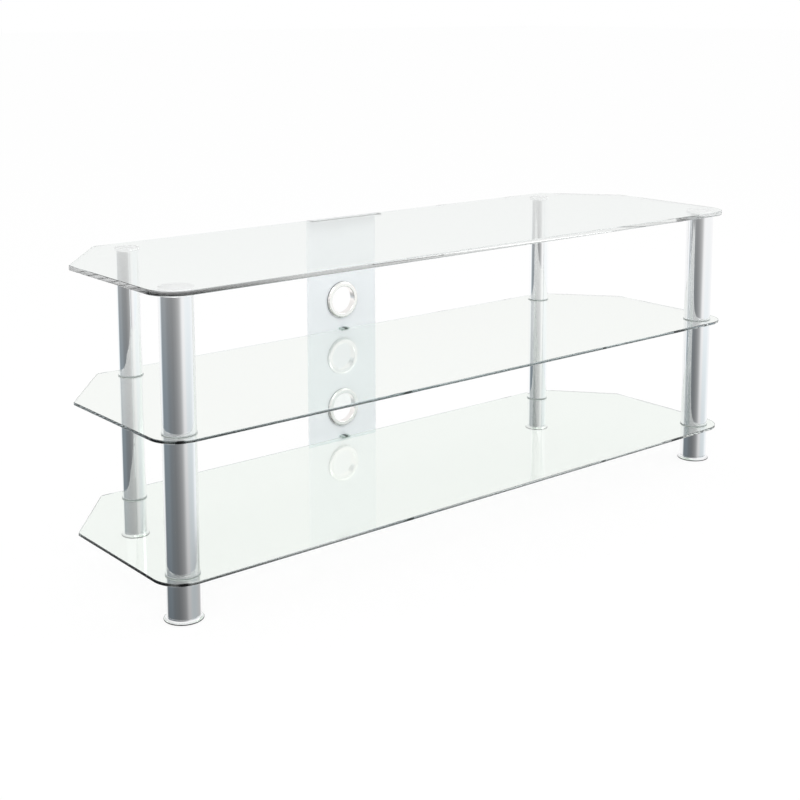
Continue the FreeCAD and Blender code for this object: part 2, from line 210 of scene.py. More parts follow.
class Finishes(bpy.types.PropertyGroup):
    """Colours and surface values."""

    top_skin: tint(
        "Top glass skin", "Colour that one face of the top pane lets through",
        (0.969, 1.0, 0.982))
    middle_skin: tint(
        "Middle glass skin", "Colour that one face of the middle pane lets through",
        (0.976, 1.0, 0.970))
    bottom_skin: tint(
        "Bottom glass skin", "Colour that one face of the bottom pane lets through",
        (0.935, 0.978, 0.936))
    glass_index: FloatProperty(
        name="Glass index", description="Index of refraction of the glass",
        default=1.52, min=1.0, max=2.5)
    chrome: tint("Chrome", "Colour of the chrome plate", (0.93, 0.935, 0.945))
    # Painted light: the rear tubes' chrome is set brighter than the front tubes', though it is the
    # same plate
    rear_chrome_painted_bright: tint(
        "Rear chrome", "Colour of the chrome plate on the rear tubes", (0.99, 0.995, 1.0))
    ring_chrome: tint(
        "Ring chrome", "Colour of the chrome plate on the cable rings", (1.0, 0.975, 0.955))
    silver: tint("Silver paint", "Colour of the panel's paint", (0.928, 0.952, 0.985))
    disc: tint("Disc plate", "Colour of the discs under the top pane", (1.0, 0.99, 1.0))
    plated: tint("Plated steel", "Colour of studs, stems and screws", (0.62, 0.63, 0.64))
    washer: tint("Washer", "Colour of the washers", (0.62, 0.66, 0.655))
    clip: tint(
        "Clip plastic", "Colour of the clips below their upper lip", (0.52, 0.60, 0.58))
    lip: tint("Clip lip", "Colour of the clips' upper lips", (0.05, 0.065, 0.062))
    black: tint("Black plastic", "Colour of the plugs", (0.012, 0.013, 0.013))
    rubber: tint("Rubber", "Colour of the pads", (0.02, 0.02, 0.021))
    strip: tint("Bond strip", "Colour of the bonding strip", (0.006, 0.016, 0.012))


class StageSettings(bpy.types.PropertyGroup):
    """Camera, floor and light."""

    lens: FloatProperty(
        name="Lens", description="Focal length in millimetres", default=63.66, min=10)
    camera_place: FloatVectorProperty(
        name="Camera place", description="Where the camera stands",
        subtype="TRANSLATION", size=3, default=(-1.5797, -1.8952, 0.8907))
    camera_yaw: FloatProperty(
        name="Camera yaw", description="Turn of the view to the right of straight ahead",
        default=0.69612, unit="ROTATION")
    camera_pitch: FloatProperty(
        name="Camera pitch", description="Tilt of the view below the horizon",
        default=0.15122, unit="ROTATION")
    camera_shift: FloatVectorProperty(
        name="Camera shift", description="Shift of the frame, as shares of its width",
        size=2, default=(-0.0173, -0.2261))
    floor_colour: tint("Floor", "Colour of the floor", (0.96, 0.96, 0.96))
    floor_reach: length("Floor reach", "Half the floor's width", 40.0)
    room_reach: length("Room reach", "Distance of what chrome and glass mirror", 6.0)
    room_light: FloatProperty(
        name="Room light", description="Strength of the even light from all round",
        default=0.95, min=0)
    lamp_power: FloatProperty(
        name="Lamp power", description="Power of the large lamp, in watts", default=36.0, min=0)


def grid_faces(rows, columns, rows_closed=False, columns_closed=False):
    """Quads of a grid numbered row by row. A closed direction joins its last line to its first."""
    last_row = rows if rows_closed else rows - 1
    last_column = columns if columns_closed else columns - 1
    row, column = np.meshgrid(np.arange(last_row), np.arange(last_column), indexing="ij")
    next_row, next_column = (row + 1) % rows, (column + 1) % columns
    corners = [row * columns + column, row * columns + next_column,
               next_row * columns + next_column, next_row * columns + column]
    return np.stack(corners, -1).reshape(-1, 4)


def propped(profile, closed):
    """Adds a point close to both ends of each long straight stretch of a profile: the start plus,
    and the end less, a short reach along the stretch. Smooth shading then bends at rounds only."""
    points = np.asarray(profile, float)
    ahead = np.roll(points, -1, axis=0) - points
    stretch = np.linalg.norm(ahead, axis=1)
    long = stretch > 4 * PROP_REACH
    long[-1] &= closed
    step = ahead * (PROP_REACH / np.maximum(stretch, PROP_REACH))[:, None]
    rows = np.stack([points, points + step, points + ahead - step], 1)
    return rows[np.column_stack([np.full(len(points), True), long, long])]


def circle(steps):
    """Even angles once round."""
    return np.arange(steps) * (FULL_TURN / steps)


def turned(profile, steps, closed):
    """A surface of revolution about Z. A profile point (r, h) at angle a lies at
    (r cos a, r sin a, h). A closed profile joins its last point to its first."""
    angle = circle(steps)
    radius, height = propped(profile, closed).T
    points = np.stack([radius[:, None] * np.cos(angle), radius[:, None] * np.sin(angle),
                       height[:, None] + 0 * angle], -1)
    return points.reshape(-1, 3), grid_faces(len(radius), steps, closed, True)


def arc(centre, radius, start, end, steps):
    """Points at radius from centre, at even angles in degrees from start to end."""
    angle = np.radians(np.linspace(start, end, steps + 1))
    return np.stack([centre[0] + radius * np.cos(angle), centre[1] + radius * np.sin(angle)], -1)


def joined(*stretches):
    """One profile from stretches of points, in order."""
    return np.concatenate([np.asarray(stretch, float).reshape(-1, 2) for stretch in stretches])


def together(shapes):
    """Several (points, faces) shapes as one."""
    points, faces, count = [], [], 0
    for shape_points, shape_faces in shapes:
        points.append(shape_points)
        faces.append(shape_faces + count)
        count += len(shape_points)
    return np.concatenate(points), np.concatenate(faces)


def moved(shape, x, y, z=0.0):
    """A shape shifted in place."""
    points, faces = shape
    return points + np.array([x, y, z]), faces


def swept(section, places):
    """Rows of points, one for each place along X: a section of (y, z) points stands there."""
    rows = [np.column_stack([np.full(len(section), x), section]) for x in places]
    return np.concatenate(rows)


def node_body(node):
    """The body that a node of the frame rides on."""
    return frame["nodes"][node]["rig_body"]


def centre_and_size(node):
    """Middle and size of a node's box."""
    low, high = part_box(node)
    return (low + high) / 2, high - low


def mesh_of(name, shape):
    """A mesh with the points and faces of a shape."""
    mesh = bpy.data.meshes.new(name)
    mesh.from_pydata(shape[0], [], shape[1])
    return mesh


def finished(mesh, materials, node, smooth=True):
    """Closes a mesh's seams and poles, shades its round stretches smooth, and stands it in for
    the node of the frame."""
    work = bmesh.new()
    work.from_mesh(mesh)
    bmesh.ops.remove_doubles(work, verts=work.verts, dist=WELD_DISTANCE)
    bmesh.ops.recalc_face_normals(work, faces=work.faces)
    work.to_mesh(mesh)
    work.free()
    mesh.polygons.foreach_set("use_smooth", np.full(len(mesh.polygons), smooth))
    if smooth:
        mesh.set_sharp_from_angle(angle=SHARP_ANGLE)
    mesh.update()
    for material in materials:
        mesh.materials.append(material)
    piece = bpy.data.objects.new(mesh.name, mesh)
    bpy.context.scene.collection.objects.link(piece)
    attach(piece, node_body(node))
    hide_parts(node)
    return piece


def on_axis(name, shape, materials, node):
    """Moves a shape to the node's upright axis and stands it in for the node."""
    middle, _ = centre_and_size(node)
    return finished(mesh_of(name, moved(shape, middle.x, middle.y)), materials, node)


def turned_piece(name, profile, closed, materials, node):
    """Turns a profile about the node's upright axis and stands it in for the node."""
    steps = bpy.context.scene.stand_legs.turn_steps
    return on_axis(name, turned(profile, steps, closed), materials, node)


def face_values(mesh, value):
    """The centre or the normal of each face, as rows."""
    values = np.empty(len(mesh.polygons) * 3)
    mesh.polygons.foreach_get(value, values)
    return values.reshape(-1, 3)


def share_out(mesh, indices):
    """Gives each face the material of its number."""
    mesh.polygons.foreach_set("material_index", indices.astype(np.int32))


def soften_edges(piece, name, width, angle):
    """Adds a bevel in two steps on the edges that turn by more than an angle in degrees."""
    bevel = piece.modifiers.new(name, "BEVEL")
    bevel.width, bevel.segments, bevel.limit_method = width, 2, "ANGLE"
    bevel.angle_limit = math.radians(angle)
    bevel.harden_normals = True


class Tree:
    """Adds nodes to one node tree and joins them."""

    def __init__(self, owner):
        owner.use_nodes = True
        self.nodes = owner.node_tree.nodes
        self.links = owner.node_tree.links
        self.nodes.clear()

    def add(self, kind, inputs=None, **settings):
        """One node. An input is a value or another node's output."""
        node = self.nodes.new(kind)
        for name, value in settings.items():
            setattr(node, name, value)
        for name, value in (inputs or {}).items():
            self.join(value, node.inputs[name])
        return node

    def join(self, value, socket):
        """Links an output to a socket, or writes a plain value there."""
        if isinstance(value, bpy.types.NodeSocket):
            self.links.new(value, socket)
        else:
            socket.default_value = value

    def sum(self, operation, first, second=0.0):
        """The output of one Math node."""
        return self.add("ShaderNodeMath", {0: first, 1: second}, operation=operation).outputs[0]

    def ramp(self, factor, stops):
        """A colour ramp through (place, colour) stops, in place order. A number is a grey."""
        node = self.add("ShaderNodeValToRGB", {"Fac": factor})
        elements = node.color_ramp.elements
        for index, (place, colour) in enumerate(stops):
            stop = elements[index] if index < len(elements) else elements.new(place)
            stop.position = place
            stop.color = (*np.broadcast_to(colour, 3), 1.0)
        return node.outputs["Color"]

    def cloud(self, pattern, colour, deep, pale):
        """A colour that wanders between two multiples of itself with a noise pattern."""
        return self.ramp(pattern, [(0.35, [part * deep for part in colour]),
                                   (0.65, [part * pale for part in colour])])

    def mix(self, share, first, second, blend_type="MIX"):
        """A blend of two colours by a share from 0 to 1."""
        node = self.add("ShaderNodeMix", {"Factor": share, 6: first, 7: second},
                        data_type="RGBA", blend_type=blend_type)
        return node.outputs[2]

    def tinted(self, first, second):
        """The product of two colours."""
        return self.mix(1.0, first, second, "MULTIPLY")

    def span(self, value, low, high):
        """A value's share of the way from low to high, from 0 to 1."""
        node = self.add("ShaderNodeMapRange", {"Value": value, "From Min": low, "From Max": high})
        return node.outputs["Result"]

    def range(self, value, low, high):
        """A noise value from its usual 0.3 to 0.7 stretched to low to high."""
        node = self.add("ShaderNodeMapRange", {
            "Value": value, "From Min": 0.3, "From Max": 0.7, "To Min": low, "To Max": high})
        return node.outputs["Result"]

    def place(self, stretch=(1.0, 1.0, 1.0)):
        """Object coordinates, scaled."""
        coordinates = self.add("ShaderNodeTexCoord")
        mapping = self.add("ShaderNodeMapping", {
            "Vector": coordinates.outputs["Object"], "Scale": stretch})
        return mapping.outputs["Vector"]

    def axes(self, vector):
        """The three parts of a vector."""
        parts = self.add("ShaderNodeSeparateXYZ", {0: vector}).outputs
        return parts["X"], parts["Y"], parts["Z"]

    def noise(self, scale, detail=2.0, stretch=(1.0, 1.0, 1.0)):
        """Noise on object coordinates."""
        node = self.add("ShaderNodeTexNoise", {
            "Vector": self.place(stretch), "Scale": scale, "Detail": detail})
        return node.outputs["Fac"]

    def bump(self, height, distance, strength):
        """A bumped normal."""
        node = self.add("ShaderNodeBump", {
            "Height": height, "Distance": distance, "Strength": strength})
        return node.outputs["Normal"]

    def principled(self, **inputs):
        """A Principled shader whose inputs are named with underscores for spaces."""
        inputs = {name.replace("_", " "): value for name, value in inputs.items()}
        return self.add("ShaderNodeBsdfPrincipled", inputs).outputs[0]

    def glass(self, colour, grain, depth, strength, roughness=0.0):
        """Glass with a colour, the roughness and a bump from a grain."""
        index = bpy.context.scene.stand_finishes.glass_index
        return self.principled(
            Base_Color=colour, Roughness=roughness, IOR=index, Transmission_Weight=1.0,
            Normal=self.bump(grain, depth, strength))

    def clear(self, colour=(1, 1, 1, 1)):
        """A shader that rays pass straight through."""
        return self.add("ShaderNodeBsdfTransparent", {"Color": colour}).outputs[0]

    def glow(self, colour=(1, 1, 1, 1)):
        """A shader that shows a colour as it is."""
        return self.add("ShaderNodeEmission", {"Color": colour, "Strength": 1.0}).outputs[0]

    def either(self, share, first, second):
        """A blend of two shaders by a share from 0 to 1."""
        return self.add("ShaderNodeMixShader", {0: share, 1: first, 2: second}).outputs[0]

    def ray(self, name):
        """What a ray is or has met."""
        return self.add("ShaderNodeLightPath").outputs[name]

    def mirrored(self):
        """1 once a ray has been mirrored by chrome or glass, else 0."""
        return self.sum("GREATER_THAN", self.ray("Glossy Depth"), 0.5)

    def looked_at(self):
        """1 for what the camera sees, straight or through glass, else 0."""
        return self.sum("MAXIMUM", self.ray("Is Camera Ray"), self.ray("Is Transmission Ray"))

    def output(self, surface, kind="ShaderNodeOutputMaterial"):
        """The tree's output."""
        self.add(kind, {"Surface": surface})

    def glass_output(self, shader):
        """The glass for every ray but those to the lamps, which pass a faintly green clearness."""
        self.output(self.either(self.ray("Is Shadow Ray"), shader,
                                self.clear((0.975, 0.985, 0.98, 1.0))))


def tone(name):
    """A colour of the finishes as four numbers."""
    return (*getattr(bpy.context.scene.stand_finishes, name), 1.0)


def new_material(name):
    """An empty material and its tree."""
    material = bpy.data.materials.new(name)
    return material, Tree(material)


def kept(make):
    """A material is made once and then shared."""
    made = {}

    def ask(*arguments):
        if arguments not in made:
            made[arguments] = make(*arguments)
        return made[arguments]
    return ask


@kept
def pane_glass(node):
    """Clear float glass. Its faces are flat, with a ripple of a few hundredths of a micron."""
    material, tree = new_material(node + "_faces")
    ripple = tree.noise(scale=5.0, detail=1.0)
    tree.glass_output(tree.glass(tone(node.replace("glass", "skin")), ripple, 0.02 * MM, 0.2))
    return material


@kept
def ground_edge():
    """The ground bevel on a pane's edge: finely frosted glass with grinding marks."""
    material, tree = new_material("ground_edge")
    grain = tree.noise(scale=900.0, detail=3.0, stretch=(1.0, 1.0, 6.0))
    tree.glass_output(tree.glass((0.9, 0.95, 0.95, 1), grain, 0.01 * MM, 0.3,
                                 tree.range(grain, 0.15, 0.3)))
    return material


# Painted shade of a pane's polished edge, as the share of light it lets through from its lower rim
# to its upper: in the open, at the front left corner, where it stands in for light lost on its
# longest way through the glass, and on the sides
OPEN_EDGE_SHADE = {
    "top_glass": ((0.0, 0.25), (0.1, 0.3), (0.3, 0.75), (0.75, 0.8), (1.0, 0.57)),
    "shelf_glass": ((0.0, 0.03), (0.2, 0.03), (0.45, 0.07), (0.7, 0.35), (1.0, 0.6)),
}
CORNER_EDGE_SHADE = {
    "top_glass": ((0.0, 0.004), (0.2, 0.004), (0.5, 0.02), (0.75, 0.1), (1.0, 0.36)),
    "shelf_glass": ((0.0, 0.001), (0.3, 0.001), (0.6, 0.03), (1.0, 0.1)),
}
SIDE_EDGE_SHADE = {
    "top_glass": ((0.0, 0.16), (0.3, 0.30), (0.6, 0.42), (1.0, 0.52)),
    "shelf_glass": ((0.0, 0.07), (0.4, 0.12), (0.7, 0.24), (1.0, 0.4)),
}
# Share of the open painted shade along the front edge, and each pane's tint of its painted edge
# shade, which sets both its hue and how dark it is painted
ALONG_EDGE_SHADE = ((0.0, 0.0), (0.04, 0.0), (0.12, 0.15), (0.19, 0.5), (0.35, 0.55), (0.5, 1.0))
EDGE_SHADE_TINT = {
    "top_glass": (1.0, 1.0, 1.0),
    "middle_glass": (0.56, 0.72, 0.76),
    "bottom_glass": (1.04, 1.1, 1.13),
}
# The stretch behind the front in which the sides take their painted shade, and the stretch before
# the right end in which the edge is painted pale, a painted light that lifts the shade there
SIDE_STARTS = (0.045, 0.095)
PALE_STARTS = (-0.15, -0.08)
PAINTED_PALE_EDGE = (0.92, 0.94, 0.94, 1)


@kept
def edge_with_painted_shade(node, slot):
    """The polished wall of a pane's edge: glass whose colour holds painted shade, darker low down
    and near the front left corner, and painted pale towards the right end."""
    material, tree = new_material(node + "_edge")
    low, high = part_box(node)
    grain = tree.noise(scale=300.0, detail=2.0, stretch=(1.0, 1.0, 4.0))
    x, y, z = tree.axes(tree.place())
    height = tree.span(z, low.z, high.z)
    along = tree.ramp(tree.span(x, low.x, high.x), ALONG_EDGE_SHADE)
    corner, front, beside = (tree.ramp(height, levels[slot])
                             for levels in (CORNER_EDGE_SHADE, OPEN_EDGE_SHADE, SIDE_EDGE_SHADE))
    aside = tree.span(y, *(low.y + start for start in SIDE_STARTS))
    shade = tree.mix(aside, tree.mix(along, corner, front), beside)
    shade = tree.tinted(shade, (*EDGE_SHADE_TINT[node], 1.0))
    pale = tree.span(x, *(high.x + start for start in PALE_STARTS))
    tree.glass_output(tree.glass(tree.mix(pale, shade, PAINTED_PALE_EDGE), grain, 0.001 * MM, 0.2))
    return material


# Chrome by piece: its colour, its least and greatest roughness, and how fine its sheen is
CHROMES = {
    "tube_chrome": ("chrome", 0.05, 0.09, 60.0),
    # The rear tubes' chrome is painted brighter than the front tubes'
    "rear_tube_chrome_painted_bright": ("rear_chrome_painted_bright", 0.05, 0.09, 60.0),
    "foot_chrome": ("chrome", 0.07, 0.12, 120.0),
    "ring_chrome": ("ring_chrome", 0.03, 0.05, 80.0),
}
# Moulded pieces: colour, how fine and how deep the grain is, and least and greatest roughness
MOULDINGS = {
    "clip_plastic": ("clip", 1500.0, 0.05 * MM, 0.38, 0.5),
    "plug_plastic": ("black", 900.0, 0.05 * MM, 0.45, 0.6),
    "pad_rubber": ("rubber", 700.0, 0.08 * MM, 0.7, 0.85),
    "strip_foam": ("strip", 1800.0, 0.05 * MM, 0.5, 0.7),
}
# Half width of the dark middle of a clip's lip, where it starts to turn pale and where it is pale
LIP_STARTS = (2.5 * MM, 4.5 * MM)


@kept
def chrome(name):
    """Bright chrome plate over a polished base: the polish leaves a faint uneven sheen."""
    colour, least, most, scale = CHROMES[name]
    material, tree = new_material(name)
    polish = tree.noise(scale, detail=3.0, stretch=(1.0, 1.0, 0.25))
    tree.output(tree.principled(Base_Color=tone(colour), Metallic=1.0,
                                Roughness=tree.range(polish, least, most)))
    return material


@kept
def moulded(name):
    """A moulding with the fine spark-eroded grain of its mould."""
    colour, scale, depth, least, most = MOULDINGS[name]
    material, tree = new_material(name)
    grain = tree.noise(scale, detail=4.0)
    tree.output(tree.principled(
        Base_Color=tree.cloud(grain, tone(colour)[:3], 0.85, 1.15),
        Roughness=tree.range(grain, least, most), Normal=tree.bump(grain, depth, 0.5)))
    return material


@kept
def lip_plastic():
    """Plastic of the clips' upper lips: dark in the middle, pale towards both sides."""
    material, tree = new_material("lip_plastic")
    across, _, _ = tree.axes(tree.place())
    aside = tree.span(tree.sum("ABSOLUTE", across), *LIP_STARTS)
    _, scale, depth, least, most = MOULDINGS["clip_plastic"]
    grain = tree.noise(scale, detail=4.0)
    tree.output(tree.principled(
        Base_Color=tree.mix(aside, tone("lip"), tone("clip")),
        Roughness=tree.range(grain, least, most), Normal=tree.bump(grain, depth, 0.5)))
    return material


@kept
def disc_metal():
    """Satin plated discs under the top pane."""
    material, tree = new_material("disc_metal")
    polish = tree.noise(scale=300.0, detail=3.0)
    tree.output(tree.principled(Base_Color=tone("disc"), Metallic=0.15,
                                Roughness=tree.range(polish, 0.24, 0.27)))
    return material


@kept
def silver_paint():
    """Satin silver paint: fine flakes in the colour and a shallow orange peel."""
    material, tree = new_material("silver_paint")
    flakes = tree.noise(scale=2600.0, detail=1.0)
    peel = tree.noise(scale=420.0, detail=2.0)
    tree.output(tree.principled(
        Base_Color=tree.cloud(flakes, tone("silver")[:3], 0.97, 1.03), Metallic=0.1,
        Roughness=tree.range(peel, 0.34, 0.42), Coat_Weight=0.1, Coat_Roughness=0.2,
        Normal=tree.bump(peel, 0.01 * MM, 0.3)))
    return material


@kept
def plated_steel():
    """Zinc-plated steel with a soft uneven lustre."""
    material, tree = new_material("plated_steel")
    cloud = tree.noise(scale=300.0, detail=4.0)
    tree.output(tree.principled(
        Base_Color=tree.cloud(cloud, tone("plated")[:3], 0.85, 1.1), Metallic=1.0,
        Roughness=tree.range(cloud, 0.25, 0.42)))
    return material


@kept
def washer_plastic():
    """Soft clear plastic, a little cloudy."""
    material, tree = new_material("washer_plastic")
    cloud = tree.noise(scale=350.0, detail=2.0)
    tree.output(tree.principled(
        Base_Color=tone("washer"), Roughness=tree.range(cloud, 0.2, 0.3), IOR=1.45,
        Transmission_Weight=0.1))
    return material


# Steps round each kind of corner, hole and rod
PANE_CORNER_STEPS, PANE_HOLE_STEPS = 24, 48
PANEL_CORNER_STEPS, PANEL_HOLE_STEPS = 10, 72
RING_STEPS, HEAD_STEPS = 128, 64
STUD_STEPS, STEM_STEPS, SCREW_STEPS = 32, 40, 24
# Edges of the panel and of the clips that turn by more than this, in degrees, are softened
PANEL_EDGE_ANGLE, CLIP_EDGE_ANGLE = 50, 40
# How far upright a face's normal is: below the first it is a wall, above the second it is flat
WALL_LEAN, FLAT_LEAN = 0.3, 0.95


def rounded_corners(corners, steps):
    """Rounds the corners of a closed outline, given as (x, y, radius). Each round is an arc that
    touches both sides, with one more point a short way along each side. Returns each point's
    centre, the direction from it, and the radius, so that a point lies at centre + radius times
    direction, and an inset outline at a smaller radius."""
    place = np.array([corner[:2] for corner in corners], float)
    radius = np.array([corner[2] for corner in corners], float)
    back = np.roll(place, 1, axis=0) - place
    ahead = np.roll(place, -1, axis=0) - place
    back /= np.linalg.norm(back, axis=1)[:, None]
    ahead /= np.linalg.norm(ahead, axis=1)[:, None]
    half = np.arccos((back * ahead).sum(1)) / 2
    inward = back + ahead
    inward /= np.linalg.norm(inward, axis=1)[:, None]
    centre = place + inward * (radius / np.sin(half))[:, None]
    middle = np.arctan2(-inward[:, 1], -inward[:, 0])
    spread = math.pi / 2 - half
    share = np.clip(np.linspace(-1 - 2 / steps, 1 + 2 / steps, steps + 3), -1, 1)
    angle = middle[:, None] + spread[:, None] * share
    direction = np.stack([np.cos(angle), np.sin(angle)], -1)
    centres = np.repeat(centre[:, None], steps + 3, axis=1)
    centres[:, 0] += back * PROP_REACH
    centres[:, -1] += ahead * PROP_REACH
    return centres.reshape(-1, 2), direction.reshape(-1, 2), np.repeat(radius, steps + 3)


def walls(rows):
    """A grid from (height, line) rows, each line a closed one of (x, y) points."""
    points = [np.column_stack([line, np.full(len(line), height)]) for height, line in rows]
    return np.concatenate(points), grid_faces(len(rows), len(rows[0][1]), False, True)


def outline_walls(outline, levels):
    """Walls on an outline of rounded corners, one row for each (height, inset) level."""
    centre, direction, radius = outline
    return walls([(height, centre + direction * (radius - inset)[:, None])
                  for height, inset in levels])


def hole_walls(x, y, radius, levels, steps):
    """Walls on a circle, one row for each (height, widening) level."""
    angle = circle(steps)
    direction = np.column_stack([np.cos(angle), np.sin(angle)])
    return walls([(height, np.array([x, y]) + (radius + wider) * direction)
                  for height, wider in levels])


def filled_plate(name, shapes):
    """A mesh from edge and hole walls. Its open rims are filled flat at each end: the fill joins
    the outer rim to the rims of the holes with triangles in one plane."""
    mesh = mesh_of(name, together(shapes))
    work = bmesh.new()
    work.from_mesh(mesh)
    bmesh.ops.remove_doubles(work, verts=work.verts, dist=WELD_DISTANCE)
    heights = sorted({round(edge.verts[0].co.z, 7) for edge in work.edges if edge.is_boundary})
    for height in heights:
        rim = [edge for edge in work.edges
               if edge.is_boundary and abs(edge.verts[0].co.z - height) < SAME_HEIGHT]
        bmesh.ops.triangle_fill(work, edges=rim, use_beauty=True, normal=(0, 0, 1))
    work.to_mesh(mesh)
    work.free()
    return mesh


def bevelled(low, high, bevel):
    """The (height, inset) levels of a wall with the same bevel at both ends."""
    return [(low, bevel), (low + bevel, 0), (high - bevel, 0), (high, bevel)]


def pane_mesh(node, holes):
    """A pane: its outline carried up through both bevels, with drilled holes, filled flat."""
    sizes = bpy.context.scene.stand_panes
    low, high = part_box(node)
    side_end = low.y + sizes.side_length
    rear_x = high.x - sizes.rear_cut
    outline = rounded_corners([
        (low.x, low.y, sizes.front_radius), (high.x, low.y, sizes.front_radius),
        (high.x, side_end, sizes.rear_radius), (rear_x, high.y, sizes.rear_radius),
        (-rear_x, high.y, sizes.rear_radius), (low.x, side_end, sizes.rear_radius)],
        PANE_CORNER_STEPS)
    shapes = [outline_walls(outline, bevelled(low.z, high.z, sizes.arris))]
    levels = bevelled(low.z, high.z, sizes.arris / 2)
    shapes += [hole_walls(x, y, sizes.hole_diameter / 2, levels, PANE_HOLE_STEPS)
               for x, y in holes]
    return filled_plate(node + "_pane", shapes)


def mark_edges(mesh, rear):
    """Gives the faces that lean the second material, and upright faces in front of the rear
    the third."""
    lean = np.abs(face_values(mesh, "normal")[:, 2])
    ahead = face_values(mesh, "center")[:, 1] < rear
    bevel = (lean > WALL_LEAN) & (lean < FLAT_LEAN)
    share_out(mesh, np.where(bevel, 1, np.where((lean < WALL_LEAN) & ahead, 2, 0)))


def leg_axes():
    """Plan position of each leg's axis."""
    middles = [centre_and_size(side + "_upper_tube")[0] for side in SIDES]
    return [(middle.x, middle.y) for middle in middles]


class STAND_OT_panes(bpy.types.Operator):
    """Make the three panes of glass"""

    bl_idname = "stand.panes"
    bl_label = "Glass panes"

    def execute(self, context):
        side_length = context.scene.stand_panes.side_length
        for node, slot in PANES.items():
            mesh = pane_mesh(node, leg_axes() if node in DRILLED_PANES else [])
            materials = [pane_glass(node), ground_edge(), edge_with_painted_shade(node, slot)]
            piece = finished(mesh, materials, node)
            low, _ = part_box(node)
            mark_edges(piece.data, low.y + side_length)
        return {"FINISHED"}


def rounded_ring(inner, outer, bottom, top, rounding, steps):
    """Closed section of a ring: its outer line with rounded ends, then its bore."""
    return joined(arc((outer - rounding, bottom + rounding), rounding, -90, 0, steps),
                  arc((outer - rounding, top - rounding), rounding, 0, 90, steps),
                  [(inner, top), (inner, bottom)])


class STAND_OT_tubes(bpy.types.Operator):
    """Make the twelve leg tubes"""

    bl_idname = "stand.tubes"
    bl_label = "Leg tubes"

    def execute(self, context):
        sizes = context.scene.stand_legs
        for side in SIDES:
            plate = chrome("rear_tube_chrome_painted_bright" if side.startswith("rear") else "tube_chrome")
            for level in LEVELS:
                node = side + "_" + level + "_tube"
                low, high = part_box(node)
                radius = (high.x - low.x) / 2
                profile = rounded_ring(radius - sizes.wall, radius, low.z + BOND_GAP,
                                       high.z - BOND_GAP, sizes.end_round, 4)
                turned_piece(node + "_shell", profile, True, [plate], node)
        return {"FINISHED"}


class STAND_OT_washers(bpy.types.Operator):
    """Make the washers above and below the two lower panes"""

    bl_idname = "stand.washers"
    bl_label = "Glass washers"

    def execute(self, context):
        sizes = context.scene.stand_legs
        thick, bore = sizes.washer_thickness, sizes.stud_radius + BOND_GAP
        for side in SIDES:
            node = side + "_glass_washers"
            _, size = centre_and_size(node)
            shapes = []
            for pane in DRILLED_PANES:
                low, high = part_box(pane)
                for bottom in (low.z - thick, high.z):
                    profile = rounded_ring(bore, size.x / 2, bottom + BOND_GAP,
                                           bottom + thick - BOND_GAP, thick / 4, 3)
                    shapes.append(turned(profile, sizes.turn_steps, True))
            on_axis(side + "_clear_washers", together(shapes), [washer_plastic()], node)
        return {"FINISHED"}


# A thread's depth as a share of its pitch, the rise and the start of its flanks in the wave that
# it follows, and the rows of points in one turn
THREAD_DEPTH = 0.6134
FLANK_RISE, FLANK_START = 2.4, 0.7
THREAD_ROWS = 8


def thread(radius, pitch, bottom, top, chamfer, steps):
    """A threaded rod. At angle a and height z the phase p is the fraction of
    z / pitch - a / full turn. The radius falls from the crest by the thread's depth times a
    trapezoid wave of p, and near the ends it is cut to a cone. Both ends close on the axis."""
    rows = max(4, int(round((top - bottom) / pitch * THREAD_ROWS)))
    height = np.linspace(bottom, top, rows + 1)
    angle = circle(steps)
    phase = (height[:, None] / pitch - angle / FULL_TURN) % 1.0
    wave = np.clip(FLANK_RISE * np.abs(2 * phase - 1) - FLANK_START, 0, 1)
    from_end = np.minimum(height - bottom, top - height)[:, None]
    cone = radius - chamfer + from_end
    reach = np.minimum(radius - THREAD_DEPTH * pitch * wave, cone)
    points = np.stack([reach * np.cos(angle), reach * np.sin(angle),
                       height[:, None] + 0 * reach], -1)
    caps = np.zeros((2, steps, 3))
    caps[0, :, 2], caps[1, :, 2] = bottom, top
    points = np.concatenate([caps[:1], points, caps[1:]])
    return points.reshape(-1, 3), grid_faces(len(height) + 2, steps, False, True)


class STAND_OT_studs(bpy.types.Operator):
    """Make the threaded studs that join the tubes through the panes"""

    bl_idname = "stand.studs"
    bl_label = "Joining studs"

    def execute(self, context):
        sizes = context.scene.stand_legs
        for side in SIDES:
            node = side + "_joining_studs"
            low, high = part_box(node)
            shapes = []
            for pane in DRILLED_PANES:
                centre, _ = centre_and_size(pane)
                half = min(high.z - centre.z, centre.z - low.z)
                shapes.append(thread(sizes.stud_radius, sizes.stud_pitch, centre.z - half,
                                     centre.z + half, sizes.stud_chamfer, STUD_STEPS))
            on_axis(side + "_threaded_studs", together(shapes), [plated_steel()], node)
        return {"FINISHED"}


class STAND_OT_discs(bpy.types.Operator):
    """Make the bonded discs under the top pane"""

    bl_idname = "stand.discs"
    bl_label = "Top discs"

    def execute(self, context):
        sizes = context.scene.stand_legs
        stub, rounding, crown = sizes.stud_radius, sizes.disc_round, sizes.disc_crown
        for side in SIDES:
            node = side + "_top_disc"
            low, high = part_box(node)
            _, size = centre_and_size(node)
            outer, top = size.x / 2, high.z + BOND_BITE
            bottom = high.z - sizes.disc_thickness
            profile = joined([(0, low.z), (stub, low.z), (stub, bottom)],
                             arc((outer - rounding, bottom + rounding), rounding, -90, 0, 5),
                             arc((outer - crown, top - crown), crown, 0, 90, 3), [(0, top)])
            turned_piece(side + "_bonded_disc", profile, False, [disc_metal()], node)
        return {"FINISHED"}


# Rows of points across one of a pad's grip rings
GROOVE_ROWS = 16


